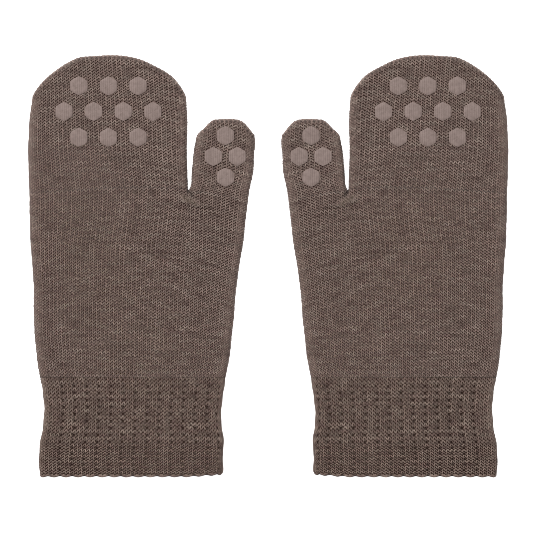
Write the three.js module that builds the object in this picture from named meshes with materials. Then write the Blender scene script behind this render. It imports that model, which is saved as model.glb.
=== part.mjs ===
// A pair of baby mittens in fine knit, laid flat side by side with the palms up.
// Each is knitted as four tubes: a ribbed cuff, a palm, a pouch for the fingers and a thumb.
// Millimetres, +Z up. The origin is on the surface under the middle of the pair, fingertips at +Y.
import * as THREE from "three";

// Sizes of one mitten; y counts from the hem and x from the hand's middle line to the thumb side
const LENGTH = 162.4;
const HAND_LINE_X = 61.5; // from the middle of the pair to each hand's middle line
const WALL = 1.4; // one layer of knit
const HOLLOW = 0.7; // between the two layers where the mitten lies flat
const FOLD_SPRING = 0.5; // how far the side folds stand up past the flat middle
const SPRING_REACH = 3.5; // how far in from the folds that carries
const SEAM_GAP = 0.3; // between pieces that meet
const CUFF_TOP = 38.2;
const CROTCH_Y = 110.3;
const LAID = 2 * WALL + HOLLOW;
const FOLD_RADIUS = (LAID + FOLD_SPRING) / 2;
const LEAST_INWARD = 0.06; // keeps the two faces apart right up to the outline

// Ribs of the cuff, and the small scallops that they draw in the hem
const RIBS = 15;
const RIB_HEIGHT = 0.35;
const SCALLOP = 0.45;

// Rows of the cuff from the hem up: its two side folds, and how much of the rib stands there
const CUFF_ROWS = [
  { y: 0.0, outer: -26.4, thumb: 40.6, rib: 0.5 },
  { y: 2.4, outer: -26.7, thumb: 43.2, rib: 0.4 },
  { y: 8.0, outer: -26.8, thumb: 43.9, rib: 0.3 },
  { y: 12.6, outer: -26.6, thumb: 44.5, rib: 0.2 },
  { y: 15.5, outer: -26.1, thumb: 44.4, rib: 1.0 },
  { y: 21.9, outer: -25.2, thumb: 43.6, rib: 1.0 },
  { y: 27.7, outer: -25.0, thumb: 43.8, rib: 1.0 },
  { y: 33.5, outer: -25.5, thumb: 44.6, rib: 1.0 },
  { y: CUFF_TOP, outer: -26.2, thumb: 45.0, rib: 0.2 },
];

// Rows of the palm, which widens evenly from the wrist to the thumb
const PALM_ROWS = [
  { y: CUFF_TOP + SEAM_GAP, outer: -26.2, thumb: 45.0 },
  { y: 45.0, outer: -27.3, thumb: 46.3 },
  { y: 58.5, outer: -28.5, thumb: 47.9 },
  { y: 75.8, outer: -28.9, thumb: 49.6 },
  { y: 91.2, outer: -30.0, thumb: 51.9 },
  { y: CROTCH_Y - SEAM_GAP / 2, outer: -30.4, thumb: 54.2 },
];

// The two closed ends: straight rows, then a tip whose outline falls away as
// height * (1 - across ** 2) ** droop, with across from -1 to 1 between the last row's folds
const FINGERS = {
  rows: [
    { y: CROTCH_Y + SEAM_GAP / 2, outer: -30.4, thumb: 30.4 },
    { y: 126.0, outer: -30.8, thumb: 30.3 },
    { y: 138.5, outer: -30.2, thumb: 30.5 },
    { y: 146.4, outer: -29.2, thumb: 30.0 },
  ],
  tip: { height: LENGTH - 146.4, droop: 0.74 },
};
const THUMB = {
  rows: [
    { y: CROTCH_Y + SEAM_GAP / 2, outer: 30.8, thumb: 54.4 },
    { y: 118.0, outer: 32.1, thumb: 55.7 },
    { y: 126.0, outer: 33.0, thumb: 56.2 },
    { y: 131.8, outer: 34.1, thumb: 56.0 },
  ],
  tip: { height: 6.7, droop: 1.15 },
};
const TIP_STEPS = [0.22, 0.42, 0.6, 0.75, 0.87, 0.95, 0.99]; // shares of a tip's height
const INNER_TIP_STEPS = [0.35, 0.65, 0.88, 0.98];

// Points across one layer: plain tubes, and the cuff with four points to a rib
const PLAIN_ACROSS = 18;
const RIBBED_ACROSS = 4 * RIBS;

// Grip pads printed on the palm side: six-sided, in straight staggered rows
const PAD = { acrossFlats: 6.6, thick: 0.5, bevel: 0.25, standOff: 0.3 };
const HAND_PADS = [
  { y: 131.0, x: 0, pitch: 11.4, count: 3 },
  { y: 140.9, x: 0, pitch: 11.4, count: 4 },
  { y: 150.8, x: 0, pitch: 11.4, count: 3 },
];
const THUMB_PADS = [
  { y: 115.6, x: 45.0, pitch: 9.2, count: 1 },
  { y: 123.6, x: 45.0, pitch: 9.2, count: 2 },
  { y: 131.6, x: 45.0, pitch: 9.2, count: 1 },
];

const knit = (color) => new THREE.MeshStandardMaterial({ color, roughness: 0.95, metalness: 0 });
const palmKnit = knit("#655750");
const cuffKnit = knit("#5e5049");
const gripRubber = new THREE.MeshStandardMaterial({
  color: "#907f7a",
  roughness: 0.6,
  metalness: 0,
});

// Fractions across a layer, close together at the two folds
function crossSteps(count) {
  return Array.from({ length: count + 1 }, (_, i) => 0.5 - 0.5 * Math.cos((Math.PI * i) / count));
}

// Fractions across a ribbed layer: even steps, so that each rib keeps its four points
function ribSteps(count) {
  return Array.from({ length: count + 1 }, (_, i) => i / count);
}

// Upper and lower height of a surface at a distance in from the outline.
// skin is 0 for the outside and WALL for the hollow inside.
function faceHeights(distance, skin) {
  const radius = FOLD_RADIUS - skin;
  const inward = Math.max(distance - skin, LEAST_INWARD);
  if (inward < radius) {
    const half = radius * Math.sqrt(1 - (1 - inward / radius) ** 2);
    return { upper: FOLD_RADIUS + half, lower: FOLD_RADIUS - half };
  }
  const spring = FOLD_SPRING * Math.exp(-(((distance - FOLD_RADIUS) / SPRING_REACH) ** 2));
  return { upper: LAID + spring - skin, lower: skin };
}

// A tip's outline as points, for measuring how far in a point of the pouch lies
function tipOutline(pouch) {
  const last = pouch.rows.at(-1);
  const samples = 48;
  return Array.from({ length: samples + 1 }, (_, i) => {
    const across = -Math.cos((Math.PI * i) / samples);
    const x = (last.outer + last.thumb) / 2 + (across * (last.thumb - last.outer)) / 2;
    const y = last.y + pouch.tip.height * Math.max(1 - across ** 2, 0) ** pouch.tip.droop;
    return new THREE.Vector2(x, y);
  });
}

function distanceIn(point, row, outline) {
  const aside = Math.min(point.x - row.outer, row.thumb - point.x);
  return outline.reduce((least, p) => Math.min(least, p.distanceTo(point)), aside);
}

// One ring round a flattened tube: over the upper layer from fold to fold, and back underneath
function ring(row, steps, skin, outline = [], shape = () => ({ lift: 0, shift: 0 })) {
  const left = row.outer + skin;
  const width = row.thumb - row.outer - 2 * skin;
  const stations = steps.map((step, i) => {
    const x = left + width * step;
    const heights = faceHeights(distanceIn(new THREE.Vector2(x, row.y), row, outline), skin);
    return { x, heights, ...shape(i, row) };
  });
  const over = stations.map((s) => new THREE.Vector3(s.x, row.y + s.shift, s.heights.upper + s.lift));
  const under = stations.slice(1, -1).map((s) => new THREE.Vector3(s.x, row.y + s.shift, s.heights.lower));
  const folds = [over[0], over.at(-1)];
  folds.forEach((fold) => fold.setZ(FOLD_RADIUS));
  return [...over, ...under.reverse()];
}

// Rings joined into a surface; reversed turns its faces the other way
function bridge(rings, reversed) {
  const faces = [];
  for (let r = 0; r + 1 < rings.length; r++) {
    const [low, high] = [rings[r], rings[r + 1]];
    low.forEach((_, i) => {
      const next = (i + 1) % low.length;
      faces.push([low[i], high[next], high[i]], [low[i], low[next], high[next]]);
    });
  }
  return reversed ? faces.map((face) => face.toReversed()) : faces;
}

// A fan from a tip point to its last ring
function closeTip(last, tip, reversed) {
  const faces = last.map((point, i) => [point, last[(i + 1) % last.length], tip]);
  return reversed ? faces.map((face) => face.toReversed()) : faces;
}

// Faces as a geometry in the pair's frame; side is -1 for the mitten on the left and 1 on the right
function geometry(faces, side) {
  const place = ({ x, y, z }) => [side * (HAND_LINE_X - x), y - LENGTH / 2, z];
  const points = faces.flatMap((face) => (side > 0 ? face.toReversed() : face).flatMap(place));
  const made = new THREE.BufferGeometry();
  made.setAttribute("position", new THREE.Float32BufferAttribute(points, 3));
  made.computeVertexNormals();
  return made;
}

// A tube open at both ends: outside, inside, and the two rims between them
function openTube(outside, inside) {
  return [
    ...bridge(outside, false),
    ...bridge(inside, true),
    ...bridge([inside[0], outside[0]], false),
    ...bridge([outside.at(-1), inside.at(-1)], false),
  ];
}

// Height of the rib and depth of the hem's scallop at a station across the cuff
function ribShape(i, row) {
  const crest = 0.5 - 0.5 * Math.cos((Math.PI * i) / 2);
  const scallop = row.y === 0 ? SCALLOP * (1 - crest) : 0;
  return { lift: RIB_HEIGHT * row.rib * crest, shift: scallop };
}

// The cuff: every row outside, every second one inside, where the ribs don't show
function cuffFaces() {
  const steps = ribSteps(RIBBED_ACROSS);
  const flatShape = (i, row) => ({ ...ribShape(i, row), lift: 0 });
  const innerRows = CUFF_ROWS.filter((_, i) => i % 2 === 0);
  const outside = CUFF_ROWS.map((row) => ring(row, steps, 0, [], ribShape));
  const inside = innerRows.map((row) => ring(row, steps, WALL, [], flatShape));
  return openTube(outside, inside);
}

function palmFaces() {
  const steps = crossSteps(PLAIN_ACROSS);
  const outside = PALM_ROWS.map((row) => ring(row, steps, 0));
  const inside = PALM_ROWS.map((row) => ring(row, steps, WALL));
  return openTube(outside, inside);
}

// A row part of the way up a tip; skin shrinks the tip for the hollow inside
function tipRow(pouch, share, skin) {
  const last = pouch.rows.at(-1);
  const height = pouch.tip.height - skin;
  const across = Math.sqrt(1 - share ** (1 / pouch.tip.droop));
  const middle = (last.outer + last.thumb) / 2;
  const half = ((last.thumb - last.outer) / 2 - skin) * across + skin;
  return { y: last.y + height * share, outer: middle - half, thumb: middle + half };
}

// A pouch open at its base and closed at its tip
function pouchFaces(pouch) {
  const steps = crossSteps(PLAIN_ACROSS);
  const outline = tipOutline(pouch);
  const surface = (skin, shares) => {
    const straight = pouch.rows.map((row) => ring(row, steps, skin, outline));
    const curved = shares.map((share) => ring(tipRow(pouch, share, skin), steps, skin, outline));
    return [...straight, ...curved];
  };
  const last = pouch.rows.at(-1);
  const top = (skin) =>
    new THREE.Vector3((last.outer + last.thumb) / 2, last.y + pouch.tip.height - skin, FOLD_RADIUS);
  const outside = surface(0, TIP_STEPS);
  const inside = surface(WALL, INNER_TIP_STEPS);
  return [
    ...bridge(outside, false),
    ...closeTip(outside.at(-1), top(0), false),
    ...bridge(inside, true),
    ...closeTip(inside.at(-1), top(WALL), true),
    ...bridge([inside[0], outside[0]], false),
  ];
}

// One printed pad: six corners on the upper layer, moved out from it, with a bevelled top
function padFaces(x, y, surfaceAt) {
  const corner = (i, inset, lift) => {
    const reach = PAD.acrossFlats / Math.sqrt(3) - inset;
    const angle = (Math.PI / 3) * i + Math.PI / 6;
    const at = new THREE.Vector2(x + reach * Math.cos(angle), y + reach * Math.sin(angle));
    return new THREE.Vector3(at.x, at.y, surfaceAt(at) + PAD.standOff + lift);
  };
  const hexagon = (inset, lift) => Array.from({ length: 6 }, (_, i) => corner(i, inset, lift));
  const foot = hexagon(0, 0);
  const head = hexagon(PAD.bevel, PAD.thick);
  const cover = (points) => [1, 2, 3, 4].map((i) => [points[0], points[i], points[i + 1]]);
  return [
    ...bridge([foot, head], false),
    ...cover(head),
    ...cover(foot).map((face) => face.toReversed()),
  ];
}

// The pads of one pouch, row by row, each with its place in the name
function padsOn(pouch, rows) {
  const outline = tipOutline(pouch);
  const base = pouch.rows[1];
  const surfaceAt = (at) => faceHeights(distanceIn(at, base, outline), 0).upper;
  return rows.flatMap(({ y, x, pitch, count }, r) =>
    Array.from({ length: count }, (_, i) => {
      const offset = (i - (count - 1) / 2) * pitch;
      return { label: `${r + 1}_${i + 1}`, faces: padFaces(x + offset, y, surfaceAt) };
    }),
  );
}

function mitten(hand, side) {
  const group = new THREE.Group();
  const add = (name, faces, material) => {
    const mesh = new THREE.Mesh(geometry(faces, side), material);
    mesh.name = `${hand}_${name}`;
    group.add(mesh);
  };
  add("cuff", cuffFaces(), cuffKnit);
  add("palm", palmFaces(), palmKnit);
  add("fingers", pouchFaces(FINGERS), palmKnit);
  add("thumb", pouchFaces(THUMB), palmKnit);
  padsOn(FINGERS, HAND_PADS).forEach((pad) => add(`finger_grip_${pad.label}`, pad.faces, gripRubber));
  padsOn(THUMB, THUMB_PADS).forEach((pad) => add(`thumb_grip_${pad.label}`, pad.faces, gripRubber));
  return group;
}

// Palm side up, the right hand's mitten lies on the left with its thumb towards the middle
const pair = new THREE.Group();
pair.add(mitten("right_hand", -1), mitten("left_hand", 1));

export default pair;
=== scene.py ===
import math
import bpy
import numpy as np
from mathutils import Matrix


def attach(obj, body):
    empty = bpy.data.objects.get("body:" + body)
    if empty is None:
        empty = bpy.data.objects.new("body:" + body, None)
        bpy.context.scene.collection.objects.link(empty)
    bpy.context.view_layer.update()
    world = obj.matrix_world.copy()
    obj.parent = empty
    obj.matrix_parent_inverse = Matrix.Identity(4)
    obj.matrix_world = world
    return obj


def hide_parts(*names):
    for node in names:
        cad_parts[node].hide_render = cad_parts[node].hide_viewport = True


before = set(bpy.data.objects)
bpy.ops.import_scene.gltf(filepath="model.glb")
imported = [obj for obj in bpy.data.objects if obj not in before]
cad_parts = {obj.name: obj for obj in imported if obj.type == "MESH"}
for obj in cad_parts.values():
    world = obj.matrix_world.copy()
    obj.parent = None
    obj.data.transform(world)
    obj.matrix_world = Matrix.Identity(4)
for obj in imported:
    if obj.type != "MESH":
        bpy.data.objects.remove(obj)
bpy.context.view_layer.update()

# Palm, fingers and thumb
# Plain-knit tubes in one melange yarn of wool and cotton, made without a side seam on a glove
# machine. They lie flat with the palm side up: the two layers touch, and the sides are soft folds.

MM = 0.001
LENGTH = 162.4
HAND_LINE_X = 61.5  # from the middle of the pair to each hand's middle line
CROTCH_X = 30.6
CROTCH_Y = 110.3
LAID = 3.5  # both layers where the mitten lies flat
FOLD_SPRING = 0.5  # the side folds stand this much higher
SPRING_REACH = 3.5
FOLD_RADIUS = (LAID + FOLD_SPRING) / 2
FOLD_LENGTH = FOLD_RADIUS * math.pi / 2  # of cloth, from the fold line up to the flat layer
FOLD_EXTRA = FOLD_LENGTH - FOLD_RADIUS  # how much further the cloth runs than the outline shows
KNIT_WALL = 1.1
LEG_LEAN = 0.76  # how far a stitch's legs climb, in courses
STEPS_PER_WALE = 4
STEPS_PER_COURSE = 3
INNER_STEP = 8  # one inner column for this many outer ones
GAP_DEPTH = 0.4  # of the gaps between stitches
GAP_UNEVENNESS = 0.8  # share by which that depth varies
TIP_STROKE = 1.75  # from one turned loop to the next along a closed tip

# The folds as they lie: y from the hem, then x from the hand's middle line to the thumb's side
OUTER_FOLD = [
    (38.2, -26.5), (45.0, -27.6), (58.5, -28.8), (75.8, -29.1), (91.2, -30.25), (110.3, -30.7),
    (126.0, -31.1), (138.5, -30.5), (146.4, -29.5),
]
FINGER_SIDE_FOLD = [(104.0, 30.6), (110.3, 30.6), (126.0, 30.2), (138.5, 30.4), (146.4, 29.9)]
THUMB_SIDE_FOLD = [
    (104.0, 30.6), (110.3, 30.6), (111.2, 31.1), (118.0, 32.0), (126.0, 32.8), (131.8, 33.9),
]
THUMB_FOLD = [
    (38.2, 45.1), (45.0, 46.4), (58.5, 48.0), (75.8, 49.6), (91.2, 52.0), (110.3, 54.3),
    (118.0, 55.8), (125.0, 56.2), (128.5, 56.6), (131.8, 56.3),
]


def along_fold(rows, y):
    """x of a fold at the heights y, on a smooth curve through its points."""
    heights = np.array([row[0] for row in rows])
    values = np.array([row[1] for row in rows])
    slopes = np.gradient(values, heights)
    k = np.clip(np.searchsorted(heights, y) - 1, 0, len(heights) - 2)
    step = heights[k + 1] - heights[k]
    s = np.clip((y - heights[k]) / step, 0, 1)
    ends = (1 + 2 * s) * (1 - s) ** 2 * values[k] + s * s * (3 - 2 * s) * values[k + 1]
    return ends + step * (s * (1 - s) ** 2 * slopes[k] + s * s * (s - 1) * slopes[k + 1])


def smooth_step(low, high, value):
    s = np.clip((value - low) / (high - low), 0, 1)
    return s * s * (3 - 2 * s)


def outer_fold(y):
    uneven = 0.05 * np.sin(y / 1.9 + 1.0) + 0.04 * np.sin(y / 0.53)
    return along_fold(OUTER_FOLD, y) + uneven * smooth_step(38, 42, y)


def thumb_fold(y):
    uneven = 0.05 * np.sin(y / 2.3) + 0.04 * np.sin(y / 0.47 + 2.0)
    return along_fold(THUMB_FOLD, y) + uneven * smooth_step(38, 42, y)


def finger_side_fold(y):
    return along_fold(FINGER_SIDE_FOLD, y) + 0.04 * np.sin(y / 0.6) * smooth_step(111, 116, y)


def thumb_side_fold(y):
    return along_fold(THUMB_SIDE_FOLD, y) + 0.04 * np.sin(y / 0.6 + 1.0) * smooth_step(111, 116, y)


# Each tube: its folds, first and last height, wales across one layer, courses and their height; for
# a closed tip, how high its outline rises, how square it is and the bumps and hollows it has from
# side to side; and how far its wales lean in mm to the side for each mm up
PALM = {
    "left": outer_fold, "right": thumb_fold, "bottom": 38.2, "top": 110.3,
    "wales": 52, "courses": 66, "pitch": (110.3 - 38.2) / 66,
}
FINGERS = {
    "left": outer_fold, "right": finger_side_fold, "bottom": 110.3, "top": 146.4,
    "wales": 37, "courses": 51, "pitch": 1.085, "lean": -0.07, "tip": 16.2, "square": (2.4, 0.77),
    "bumps": [
        (-1, 0), (-0.9, -0.2), (-0.66, -0.1), (-0.52, 0.3), (-0.4, 0.6), (-0.2, 0.1), (0, 0.2),
        (0.4, 0), (0.6, -0.3), (0.85, 0.4), (1, 0),
    ],
}
THUMB = {
    "left": thumb_side_fold, "right": thumb_fold, "bottom": 110.3, "top": 131.8,
    "wales": 15, "courses": 33, "pitch": 1.081, "lean": 0.0, "tip": 6.6, "square": (2.6, 1.1),
    "bumps": [
        (-1, 0), (-0.9, 0), (-0.78, -0.5), (-0.6, -0.1), (-0.45, 0.2), (-0.25, -0.15), (0.05, -0.2),
        (0.3, 0.05), (0.6, 0.5), (0.85, 0.1), (1, 0),
    ],
}


def arch(x, y):
    """How far the courses bow: they rise to the middle of the hand and fall away to the thumb."""
    bow = np.where(x < 14, 0.0013, 0.00345) * (x - 14) ** 2
    at_crotch = 0.00345 * (CROTCH_X - 14) ** 2
    return (at_crotch - bow) * smooth_step(36, 75, y) * (1 - 0.7 * smooth_step(135, 160, y))


def bend_over_fold(from_fold):
    """Distance in from the outline, and the angle of the bend, at a cloth distance from the fold."""
    angle = np.clip(from_fold / FOLD_RADIUS, 0, math.pi / 2)
    round_part = FOLD_RADIUS * (1 - np.cos(angle))
    return np.where(from_fold < FOLD_LENGTH, round_part, from_fold - FOLD_EXTRA), angle


def layer_height(inside, angle, over):
    """Height of the upper or the lower layer at a distance inside the outline."""
    spring = FOLD_SPRING * np.exp(-(((inside - FOLD_RADIUS) / SPRING_REACH) ** 2))
    flat = np.where(over, LAID + spring, 0.0)
    rounded = FOLD_RADIUS + np.where(over, 1, -1) * FOLD_RADIUS * np.sin(angle)
    return np.where(inside < FOLD_RADIUS, rounded, flat)


def on_tube(across, over, left, right, y):
    """Points, outward directions and distances inside the outline, on a flattened tube."""
    span = right - left + 2 * FOLD_EXTRA
    from_left = across * span
    from_right = span - from_left
    by_left = from_left <= from_right
    inside, angle = bend_over_fold(np.minimum(from_left, from_right))
    x = np.where(by_left, left + inside, right - inside)
    z = layer_height(inside, angle, over)
    away = np.where(by_left, -1, 1) * np.cos(angle)
    up = np.where(over, 1, -1) * np.sin(angle)
    return np.stack([x, y, z], -1), np.stack([away, np.zeros_like(away), up], -1), inside


def palm_place(tube, wale, over, y, level):
    """The palm: wales a little wider in the middle, and pinched at the crotch where it divides."""
    across = wale / tube["wales"]
    ease = 0.08 * (1 - smooth_step(78, 108, level))
    left, right = tube["left"](y), tube["right"](y)
    spread = across - ease / (2 * math.pi) * np.sin(2 * math.pi * across)
    point, outward, inside = on_tube(spread, over, left, right, y)
    in_hand = wale <= FINGERS["wales"]
    share = np.where(in_hand, wale / FINGERS["wales"], (wale - FINGERS["wales"]) / THUMB["wales"])
    split_left = np.where(in_hand, left, CROTCH_X)
    split_right = np.where(in_hand, CROTCH_X, right)
    split_point, split_outward, _ = on_tube(share, over, split_left, split_right, y)
    slide = smooth_step(0, 1, (level - CROTCH_Y + 25) / 25)
    pinch = smooth_step(0, 1, (level - CROTCH_Y + 4.5) / 4.5) ** 3
    mix = np.stack([slide, slide, pinch], -1)
    point = point + (split_point - point) * mix
    outward = outward + (split_outward - outward) * pinch[..., None]
    return point, outward, inside


def tip_outline(tube):
    """The pouch's outline as points from base to base over the tip, with outward directions."""
    rise = np.linspace(tube["bottom"] - 6, tube["top"], 120)
    left_top, right_top = tube["left"](tube["top"]), tube["right"](tube["top"])
    across = -np.cos(np.linspace(0, math.pi, 241)[1:-1])
    power, fall = tube["square"]
    tip_y = tube["top"] + tube["tip"] * (1 - np.abs(across) ** power) ** fall
    tip_y = tip_y + along_fold(tube["bumps"], across)
    tip_x = (left_top + right_top) / 2 + (right_top - left_top) / 2 * across
    x = np.concatenate([tube["left"](rise), tip_x, tube["right"](rise[::-1])])
    y = np.concatenate([rise, tip_y, rise[::-1]])
    along = np.gradient(np.stack([x, y], -1), axis=0)
    along /= np.linalg.norm(along, axis=1)[:, None]
    return np.stack([x, y], -1), np.stack([-along[:, 1], along[:, 0]], -1)


def nearest_on(line, outward, points):
    """Distance inside an outline, its outward direction and the run along it, for each point."""
    edge = np.diff(line, axis=0)
    run = np.concatenate([[0], np.cumsum(np.linalg.norm(edge, axis=1))])
    inside = np.empty(len(points))
    away = np.empty((len(points), 2))
    along = np.empty(len(points))
    for first in range(0, len(points), 4000):
        block = slice(first, first + 4000)
        offset = points[block][:, None] - line[None, :-1]
        share = np.clip((offset * edge).sum(-1) / (edge**2).sum(-1), 0, 1)
        reach = np.linalg.norm(offset - share[..., None] * edge, axis=-1)
        k = reach.argmin(1)
        row = np.arange(len(k))
        s = share[row, k][:, None]
        normal = outward[k] * (1 - s) + outward[k + 1] * s
        normal /= np.linalg.norm(normal, axis=1)[:, None]
        side = ((points[block] - line[k] - s * edge[k]) * normal).sum(-1)
        inside[block] = np.where(side > 0, -1, 1) * reach[row, k]
        away[block] = normal
        along[block] = run[k] + s[:, 0] * (run[k + 1] - run[k])
    return inside, away, along


def pouch_place(tube, wale, over, y, level):
    """A pouch: wales run up to the tip's outline, where the two layers are closed."""
    line, outward = tip_outline(tube)
    left, right = tube["left"](np.minimum(y, tube["top"])), tube["right"](np.minimum(y, tube["top"]))
    across = wale / tube["wales"]
    x = left - FOLD_EXTRA + across * (right - left + 2 * FOLD_EXTRA)
    x = x + tube["lean"] * (level - tube["bottom"]) * (1 - (2 * across - 1) ** 4)
    cloth_edge = line + outward * FOLD_EXTRA
    over_tip = slice(119, -119)
    limit = np.interp(x, cloth_edge[over_tip, 0], cloth_edge[over_tip, 1])
    at_edge = y >= limit
    flat = np.stack([x, np.minimum(y, limit)], -1)
    inside, away, _ = nearest_on(line, outward, flat.reshape(-1, 2))
    from_fold = np.where(at_edge, 0, np.maximum(inside.reshape(x.shape) + FOLD_EXTRA, 0))
    away = away.reshape(*x.shape, 2)
    inside, angle = bend_over_fold(from_fold)
    moved = flat - away * (FOLD_EXTRA - from_fold + inside)[..., None]
    z = layer_height(inside, angle, over)
    up = np.where(over, 1, -1) * np.sin(angle)
    point = np.concatenate([moved, z[..., None]], -1)
    return point, np.concatenate([away * np.cos(angle)[..., None], up[..., None]], -1), inside


def swell(point, over):
    """Soft unevenness of knit that has been worn, washed and laid down again."""
    x, y = point[..., 0], point[..., 1]
    wide = 0.16 * np.sin(x / 9.0 + y / 23.0) * np.sin(y / 14.0 + 0.7)
    narrow = 0.10 * np.sin(x / 4.1 - y / 7.3)
    under = 0.06 * (1 + np.sin(x / 7.0) * np.sin(y / 11.0))
    return np.where(over, wide + narrow, under)


def hand_look(tube, point, inside):
    """At each point: how open the gaps are, how light the yarn is with painted light and shade in it,
    how far it is pressed in, and how far its stitches show as slanting strokes."""
    x, y = point[..., 0], point[..., 1]
    by_side = 1 - smooth_step(tube["top"] - 4, tube["top"] + 4, y) * ("tip" in tube)
    band = 1 - smooth_step(1.8, 4.2, inside)
    stretched = 1.12 - 0.12 * smooth_step(100, 112, y) - 0.05 * smooth_step(112, 145, y)
    stretched = stretched * (1 - 0.12 * smooth_step(34, 37, x) * smooth_step(105, 113, y))
    open_gaps = stretched * (1 - 0.12 * band * by_side)
    slant = band * by_side
    ladder = by_side * np.exp(-(((inside - 3.7) / 0.4) ** 2))
    # Painted light: the yarn is made lighter in the band along each fold, where the folds catch more
    # light
    tone_and_painted_light = 1.03 * stretched ** 0.25 + 0.05 * band * by_side + 0.12 * ladder * smooth_step(50, 80, y)
    press = np.zeros_like(x)
    # The stitches that close the crotch: drawn tight and smooth, with a row of pulled holes below
    tack_along = 0.91 * (x - 31.2) - 0.42 * (y - 106.5)
    tack_across = 0.42 * (x - 31.2) + 0.91 * (y - 106.5)
    tight = np.clip((tack_along / 4.6) ** 2 + (tack_across / 1.7) ** 2, 0, 4)
    open_gaps = open_gaps * (1 - 0.75 * np.exp(-(tight**2)))
    tone_and_painted_light = tone_and_painted_light * (1 - 0.06 * np.exp(-(tight**2)))
    below = y - 104.1 - 0.29 * np.maximum(0, 33.5 - x) + 0.08 * np.maximum(0, x - 33.5)
    pulled = np.exp(-((below / 0.6) ** 2)) * smooth_step(27, 29, x) * (1 - smooth_step(38, 42, x))
    open_gaps = open_gaps * (1 + 0.9 * pulled)
    # Painted shade: the yarn round the pulled holes is darkened
    tone_and_painted_light = tone_and_painted_light * (1 - 0.25 * pulled)
    # Painted shadow: a dark streak runs down into the pinch at the crotch
    painted_pinch_shadow = np.exp(-(((x - 31.0 - 0.7 * (CROTCH_Y - y)) / 0.65) ** 2)) * smooth_step(107.2, 108.6, y)
    tone_and_painted_light = tone_and_painted_light * (1 - 0.75 * painted_pinch_shadow * (1 - smooth_step(CROTCH_Y, CROTCH_Y + 0.5, y)))
    if "tip" in tube:
        # Loops turned over the closed tip stand as short strokes across its edge, with painted shade
        # in the gaps between them and painted light along the very edge
        line, outward = tip_outline(tube)
        _, _, along = nearest_on(line, outward, point[..., :2].reshape(-1, 2))
        stroke = 0.5 + 0.5 * np.cos(2 * math.pi * along.reshape(x.shape) / TIP_STROKE)
        over_tip = smooth_step(tube["top"] - 4, tube["top"] + 1, y)
        loop_gap = stroke**1.5 * np.exp(-(((inside - 0.85) / 0.5) ** 2)) * over_tip
        at_edge = np.exp(-((inside / 0.8) ** 2)) * over_tip
        press = 0.35 * loop_gap + 0.1 * stroke * at_edge
        tone_and_painted_light = tone_and_painted_light * (1 - 0.8 * loop_gap) * (1 + 0.1 * at_edge)
        open_gaps = open_gaps * (1 - 0.9 * np.exp(-((inside / 1.4) ** 4)) * over_tip)
    return open_gaps, tone_and_painted_light, press, slant


def uneven(around, course, start):
    """A smooth wandering value from about -1 to 1: hand yarn never feeds or lies quite evenly."""
    slow = np.sin(0.61 * around + 0.37 * course + start)
    slow = slow * np.sin(0.23 * around - 0.52 * course + 2 * start)
    quick = np.sin(1.9 * around - 0.8 * course + start)
    quick = quick * np.sin(0.9 * around + 1.7 * course + 3 * start)
    return slow + 0.4 * quick


def knit_grid(tube, place, look, columns, rows, lean_in):
    """Points, outward directions, stitch coordinates and look of one wall of a tube, by rings.
    lean_in says how fully the stitches of each course stand in points."""
    around, course = np.meshgrid(columns, rows)
    over = around <= tube["wales"]
    wale = np.where(over, around, 2 * tube["wales"] - around)
    lean = LEG_LEAN * np.abs(2 * (around % 1) - 1) * lean_in(course)
    level = tube["bottom"] + (course + lean) * tube["pitch"]
    settled = smooth_step(0, 3, course) * smooth_step(0, 3, tube["courses"] - course)
    wander = 1.0 if tube["wales"] > 20 else 2.2
    level = level + 0.07 * wander * settled * uneven(around, course, 0.0)
    off_fold = np.minimum(wale, tube["wales"] - wale) > 1
    wale = wale + 0.05 * wander * settled * uneven(around, course, 5.0) * off_fold
    left, right = tube["left"](level), tube["right"](level)
    y = level + arch(left + (right - left) * wale / tube["wales"], level)
    point, outward, inside = place(tube, wale, over, y, level)
    looks = look(tube, point, inside)
    point[..., 2] += swell(point, over) * np.abs(outward[..., 2])
    return point, outward, around, course, looks


def band_faces(low, high):
    """Two triangles for each step round two rings of the same count."""
    low_next, high_next = np.roll(low, -1), np.roll(high, -1)
    upper = np.stack([low, high_next, high], -1)
    lower = np.stack([low, low_next, high_next], -1)
    return np.concatenate([upper, lower])


def rim_faces(outer, inner):
    """Fans between a fine ring and a coarse one that has one point for every INNER_STEP."""
    faces = []
    for j in range(len(inner)):
        a, b = inner[j], inner[(j + 1) % len(inner)]
        run = [outer[(j * INNER_STEP + k) % len(outer)] for k in range(INNER_STEP + 1)]
        half = INNER_STEP // 2
        faces += [(a, run[k + 1], run[k]) for k in range(half)]
        faces.append((a, b, run[half]))
        faces += [(b, run[k + 1], run[k]) for k in range(half, INNER_STEP)]
    return np.array(faces)


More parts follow.
